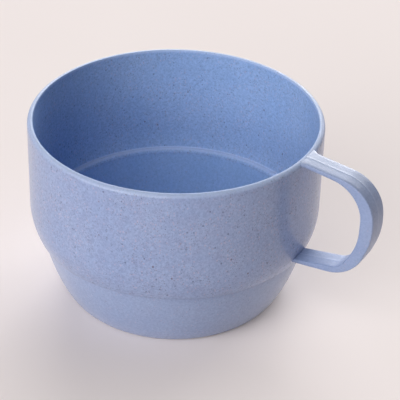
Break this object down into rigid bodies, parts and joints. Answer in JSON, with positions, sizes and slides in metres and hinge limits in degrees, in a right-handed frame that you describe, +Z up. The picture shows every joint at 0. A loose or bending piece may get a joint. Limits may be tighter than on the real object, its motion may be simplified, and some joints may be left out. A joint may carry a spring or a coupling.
{
  "type": "plastic tea cup",
  "caption": "Wide, low plastic tea cup with a thin upright wall stepped over a narrower flared bowl, an inner ledge at the step, a shallow foot ring and a flat strap handle.",
  "frame": {"origin": "on the table under the cup, in the middle of the whole outline seen from above, handle included", "axes": "+X from the cup's body out along the handle, +Z up through the mouth, +Y across the handle's strap"},
  "size_m": [0.126, 0.1, 0.066],
  "materials": {
    "wall_plastic": "satin moulded, fibre-flecked",
    "bowl_plastic": "satin moulded, finely flecked",
    "handle_plastic": "satin moulded, lightly flecked"
  },
  "bodies": {
    "root": {"cup_wall": "wall_plastic", "base_bowl": "bowl_plastic", "handle": "handle_plastic"}
  },
  "joints": []
}
